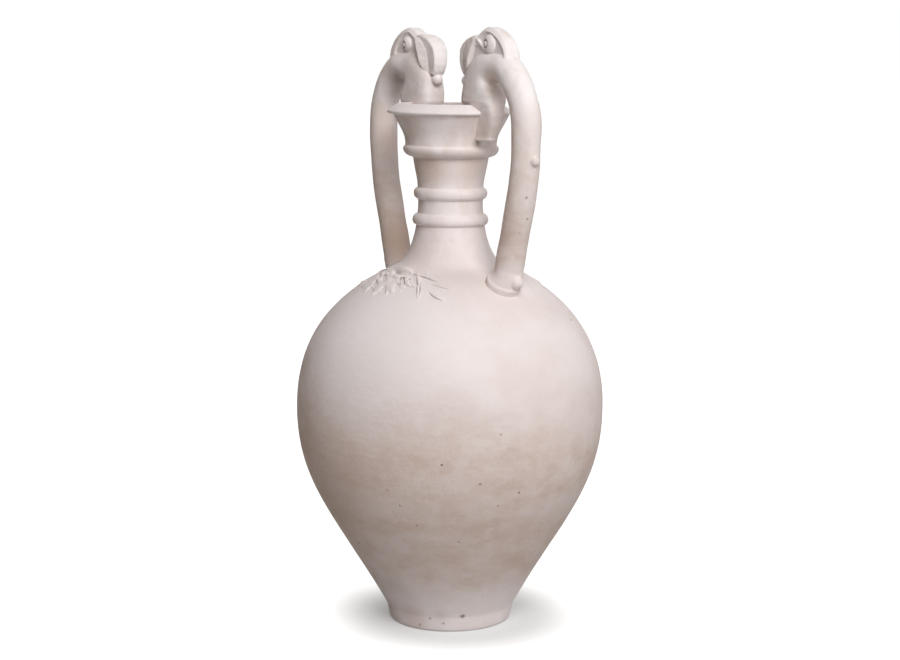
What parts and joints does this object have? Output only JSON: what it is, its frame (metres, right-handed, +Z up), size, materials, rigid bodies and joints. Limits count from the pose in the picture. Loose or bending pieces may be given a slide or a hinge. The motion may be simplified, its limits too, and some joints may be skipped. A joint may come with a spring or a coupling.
{
  "type": "amphora vase",
  "caption": "Tall ovoid ceramic amphora with a ringed neck, a cupped mouth and arched handles ending in dragon heads that bite the rim, with a leaf spray on the shoulder.",
  "frame": {"origin": "centre of the flat base, on the surface the vase stands on", "axes": "+Z up the vase's axis; the dragon handles lie on +X and -X, the leaf sprays on -Y and +Y"},
  "size_m": [0.2572, 0.2572, 0.4974],
  "materials": {
    "vessel_clay": "matt off-white slip, browner and stained towards the foot",
    "handle_clay": "matt off-white slip with brown specks",
    "ornament_clay": "matt off-white slip"
  },
  "bodies": {
    "root": {"back_spray_bud": "ornament_clay", "back_spray_left_finger": "ornament_clay", "back_spray_left_frond": "ornament_clay", "back_spray_left_lobe": "ornament_clay", "back_spray_left_shoot": "ornament_clay", "back_spray_middle_leaf": "ornament_clay", "back_spray_right_finger": "ornament_clay", "back_spray_right_frond": "ornament_clay", "back_spray_right_lobe": "ornament_clay", "back_spray_right_shoot": "ornament_clay", "foot": "vessel_clay", "front_spray_bud": "ornament_clay", "front_spray_left_finger": "ornament_clay", "front_spray_left_frond": "ornament_clay", "front_spray_left_lobe": "ornament_clay", "front_spray_left_shoot": "ornament_clay", "front_spray_middle_leaf": "ornament_clay", "front_spray_right_finger": "ornament_clay", "front_spray_right_frond": "ornament_clay", "front_spray_right_lobe": "ornament_clay", "front_spray_right_shoot": "ornament_clay", "left_dragon_eye_back": "ornament_clay", "left_dragon_eye_front": "ornament_clay", "left_dragon_head": "handle_clay", "left_dragon_pearl": "ornament_clay", "left_dragon_snout": "handle_clay", "left_foot_bead": "ornament_clay", "left_handle": "handle_clay", "left_handle_pad": "handle_clay", "left_rim_clasp": "handle_clay", "left_spine_bead": "ornament_clay", "lower_body": "vessel_clay", "mouth_cup": "vessel_clay", "neck": "vessel_clay", "right_dragon_eye_back": "ornament_clay", "right_dragon_eye_front": "ornament_clay", "right_dragon_head": "handle_clay", "right_dragon_pearl": "ornament_clay", "right_dragon_snout": "handle_clay", "right_foot_bead": "ornament_clay", "right_handle": "handle_clay", "right_handle_pad": "handle_clay", "right_rim_clasp": "handle_clay", "right_spine_bead": "ornament_clay", "upper_body": "vessel_clay"}
  },
  "joints": []
}
